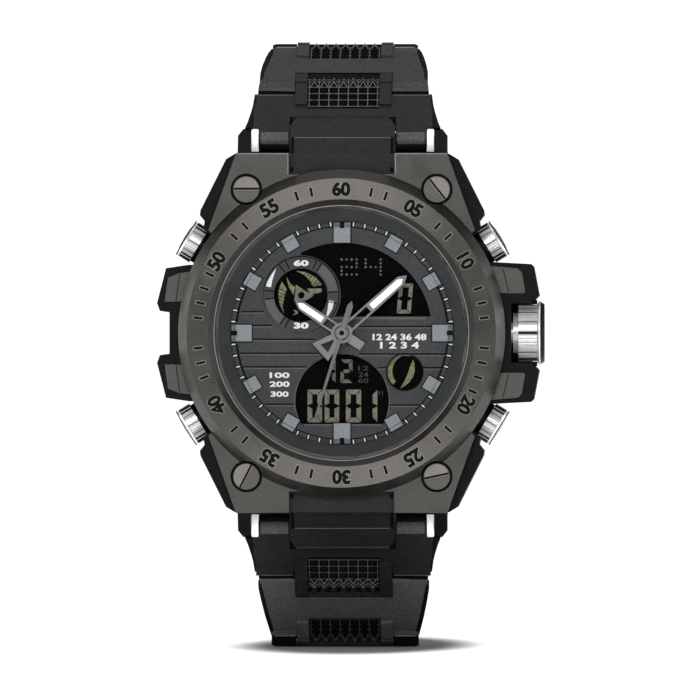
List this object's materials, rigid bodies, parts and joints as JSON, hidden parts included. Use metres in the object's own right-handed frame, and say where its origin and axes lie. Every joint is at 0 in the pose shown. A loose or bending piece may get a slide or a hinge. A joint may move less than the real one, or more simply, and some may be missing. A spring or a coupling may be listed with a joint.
{
  "type": "sports watch",
  "caption": "Round digital-analogue sports watch with a screwed bezel, side pushers, a guarded crown, and a closed link strap with a folding clasp.",
  "frame": {"origin": "centre of the case back's outer face", "axes": "+Z to 12 o'clock, +X to 3 o'clock, the dial faces -Y and the case back faces +Y"},
  "size_m": [0.0561, 0.0654, 0.0879],
  "materials": {
    "black_resin": "fine grained matte moulding",
    "gunmetal": "satin ion-plated brown grey",
    "brushed": "brushed",
    "polished": "polished",
    "seal_rubber": "soft black",
    "crystal_glass": "clear mineral glass",
    "dial_dark": "dark grey with grooves",
    "marker_grey": "blue grey satin",
    "display": "negative display with olive segments",
    "frame_plastic": "moulded",
    "board_green": "solder mask",
    "brass": "plain",
    "lume_white": "white filled blades"
  },
  "bodies": {
    "case": {"case_body": "black_resin", "guard_plates": "gunmetal", "case_back": "brushed", "case_back_seal": "seal_rubber", "case_back_screws": "brushed", "bezel_base": "gunmetal", "bezel_ring": "gunmetal", "bezel_screws": "brushed", "crystal": "crystal_glass", "crystal_seal": "seal_rubber", "chapter_ring": "dial_dark", "hour_markers": "marker_grey", "dial": "dial_dark", "subdial_ring": "marker_grey", "display_panel": "display", "movement_frame": "frame_plastic", "circuit_board": "board_green", "coin_cell": "brushed", "alarm_disc": "brass", "motor_coil": "brass", "crown_tube": "brushed", "pusher_tubes": "brushed", "pusher_springs": "polished", "lug_pins": "brushed", "lug_sleeves": "polished"},
    "hour_hand": {"hour_hand": "lume_white"},
    "minute_hand": {"minute_hand": "lume_white"},
    "second_hand": {"second_hand": "polished"},
    "motion_wheel": {"motion_wheel": "brass"},
    "third_wheel": {"third_wheel": "brass"},
    "crown_sleeve": {"crown_sleeve": "polished"},
    "crown": {"crown": "polished"},
    "pusher_upper_right": {"pusher_upper_right": "polished"},
    "pusher_upper_left": {"pusher_upper_left": "polished"},
    "pusher_lower_left": {"pusher_lower_left": "polished"},
    "pusher_lower_right": {"pusher_lower_right": "polished"},
    "upper_link_1": {"upper_link_1": "black_resin", "upper_pin_1": "brushed"},
    "upper_link_2": {"upper_link_2": "black_resin", "upper_pin_2": "brushed"},
    "upper_link_3": {"upper_link_3": "black_resin", "upper_pin_3": "brushed"},
    "upper_link_4": {"upper_link_4": "black_resin", "upper_pin_4": "brushed"},
    "upper_link_5": {"upper_link_5": "black_resin", "upper_pin_5": "brushed"},
    "clasp_blade": {"clasp_blade": "brushed", "clasp_pin": "brushed"},
    "lower_link_1": {"lower_link_1": "black_resin", "lower_pin_1": "brushed"},
    "lower_link_2": {"lower_link_2": "black_resin", "lower_pin_2": "brushed"},
    "lower_link_3": {"lower_link_3": "black_resin", "lower_pin_3": "brushed"},
    "lower_link_4": {"lower_link_4": "black_resin", "lower_pin_4": "brushed"},
    "lower_link_5": {"lower_link_5": "black_resin", "lower_pin_5": "brushed"},
    "clasp_tongue": {"clasp_tongue": "brushed"},
    "clasp_cover": {"clasp_cover": "brushed"}
  },
  "joints": [
    {"name": "minute_turn", "type": "hinge", "parent": "case", "child": "minute_hand", "pos_m": [0, 0, 0], "axis": [0, -1, 0], "continuous": true},
    {"name": "hour_turn", "type": "hinge", "parent": "case", "child": "hour_hand", "pos_m": [0, 0, 0], "axis": [0, -1, 0], "continuous": true},
    {"name": "second_turn", "type": "hinge", "parent": "case", "child": "second_hand", "pos_m": [0, 0, 0], "axis": [0, -1, 0], "continuous": true},
    {"name": "motion_wheel_turn", "type": "hinge", "parent": "case", "child": "motion_wheel", "pos_m": [0, 0, -0.0044], "axis": [0, -1, 0], "continuous": true},
    {"name": "third_wheel_turn", "type": "hinge", "parent": "case", "child": "third_wheel", "pos_m": [0, 0, 0.00432], "axis": [0, -1, 0], "continuous": true},
    {"name": "crown_pull", "type": "slide", "parent": "case", "child": "crown_sleeve", "axis": [1, 0, 0], "range_m": [0, 0.0015]},
    {"name": "crown_turn", "type": "hinge", "parent": "crown_sleeve", "child": "crown", "pos_m": [0.025, -0.0068, 0], "axis": [1, 0, 0], "continuous": true},
    {"name": "pusher_upper_right_press", "type": "slide", "parent": "case", "child": "pusher_upper_right", "axis": [-0.8545, 0, -0.5195], "range_m": [0, 0.001], "stiffness_N_per_m": 1500, "springref_m": -0.001},
    {"name": "pusher_upper_left_press", "type": "slide", "parent": "case", "child": "pusher_upper_left", "axis": [0.8545, 0, -0.5195], "range_m": [0, 0.001], "stiffness_N_per_m": 1500, "springref_m": -0.001},
    {"name": "pusher_lower_left_press", "type": "slide", "parent": "case", "child": "pusher_lower_left", "axis": [0.8545, 0, 0.5195], "range_m": [0, 0.001], "stiffness_N_per_m": 1500, "springref_m": -0.001},
    {"name": "pusher_lower_right_press", "type": "slide", "parent": "case", "child": "pusher_lower_right", "axis": [-0.8545, 0, 0.5195], "range_m": [0, 0.001], "stiffness_N_per_m": 1500, "springref_m": -0.001},
    {"name": "upper_strap_fold_1", "type": "hinge", "parent": "case", "child": "upper_link_1", "pos_m": [0, -0.006, 0.028], "axis": [1, 0, 0], "range_deg": [0, 25]},
    {"name": "upper_strap_fold_2", "type": "hinge", "parent": "upper_link_1", "child": "upper_link_2", "pos_m": [0, -0.00034, 0.03499], "axis": [1, 0, 0], "range_deg": [0, 27.01]},
    {"name": "upper_strap_fold_3", "type": "hinge", "parent": "upper_link_2", "child": "upper_link_3", "pos_m": [0, 0.01154, 0.04028], "axis": [1, 0, 0], "range_deg": [0, 28.01]},
    {"name": "upper_strap_fold_4", "type": "hinge", "parent": "upper_link_3", "child": "upper_link_4", "pos_m": [0, 0.0265, 0.03924], "axis": [1, 0, 0], "range_deg": [0, 26.01]},
    {"name": "upper_strap_fold_5", "type": "hinge", "parent": "upper_link_4", "child": "upper_link_5", "pos_m": [0, 0.03949, 0.03174], "axis": [1, 0, 0], "range_deg": [0, 30.01]},
    {"name": "upper_strap_fold_6", "type": "hinge", "parent": "upper_link_5", "child": "clasp_blade", "pos_m": [0, 0.04699, 0.01875], "axis": [1, 0, 0], "range_deg": [0, 31.05]},
    {"name": "lower_strap_fold_1", "type": "hinge", "parent": "case", "child": "lower_link_1", "pos_m": [0, -0.006, -0.028], "axis": [-1, 0, 0], "range_deg": [0, 25.01]},
    {"name": "lower_strap_fold_2", "type": "hinge", "parent": "lower_link_1", "child": "lower_link_2", "pos_m": [0, -0.00034, -0.03499], "axis": [-1, 0, 0], "range_deg": [0, 13.01]},
    {"name": "lower_strap_fold_3", "type": "hinge", "parent": "lower_link_2", "child": "lower_link_3", "pos_m": [0, 0.00991, -0.043], "axis": [-1, 0, 0], "range_deg": [0, 37.01]},
    {"name": "lower_strap_fold_4", "type": "hinge", "parent": "lower_link_3", "child": "lower_link_4", "pos_m": [0, 0.02491, -0.04326], "axis": [-1, 0, 0], "range_deg": [0, 28.01]},
    {"name": "lower_strap_fold_5", "type": "hinge", "parent": "lower_link_4", "child": "lower_link_5", "pos_m": [0, 0.03827, -0.03645], "axis": [-1, 0, 0], "range_deg": [0, 31.01]},
    {"name": "lower_strap_fold_6", "type": "hinge", "parent": "lower_link_5", "child": "clasp_tongue", "pos_m": [0, 0.04622, -0.02373], "axis": [-1, 0, 0], "range_deg": [0, 30.97]},
    {"name": "clasp_cover_open", "type": "hinge", "parent": "clasp_blade", "child": "clasp_cover", "pos_m": [0, 0.04744, 0.01314], "axis": [1, 0, 0], "range_deg": [0, 100]}
  ],
  "couplings": [
    {"joint": "hour_turn", "follows": "minute_turn", "ratio": 0.083333},
    {"joint": "second_turn", "follows": "minute_turn", "ratio": 60},
    {"joint": "motion_wheel_turn", "follows": "minute_turn", "ratio": -0.33333},
    {"joint": "third_wheel_turn", "follows": "minute_turn", "ratio": -8},
    {"joint": "upper_strap_fold_2", "follows": "upper_strap_fold_1", "ratio": 1.08},
    {"joint": "upper_strap_fold_3", "follows": "upper_strap_fold_1", "ratio": 1.12},
    {"joint": "upper_strap_fold_4", "follows": "upper_strap_fold_1", "ratio": 1.04},
    {"joint": "upper_strap_fold_5", "follows": "upper_strap_fold_1", "ratio": 1.2},
    {"joint": "upper_strap_fold_6", "follows": "upper_strap_fold_1", "ratio": 1.2418},
    {"joint": "lower_strap_fold_1", "follows": "upper_strap_fold_1", "ratio": 1},
    {"joint": "lower_strap_fold_2", "follows": "upper_strap_fold_1", "ratio": 0.52},
    {"joint": "lower_strap_fold_3", "follows": "upper_strap_fold_1", "ratio": 1.48},
    {"joint": "lower_strap_fold_4", "follows": "upper_strap_fold_1", "ratio": 1.12},
    {"joint": "lower_strap_fold_5", "follows": "upper_strap_fold_1", "ratio": 1.24},
    {"joint": "lower_strap_fold_6", "follows": "upper_strap_fold_1", "ratio": 1.2382}
  ]
}
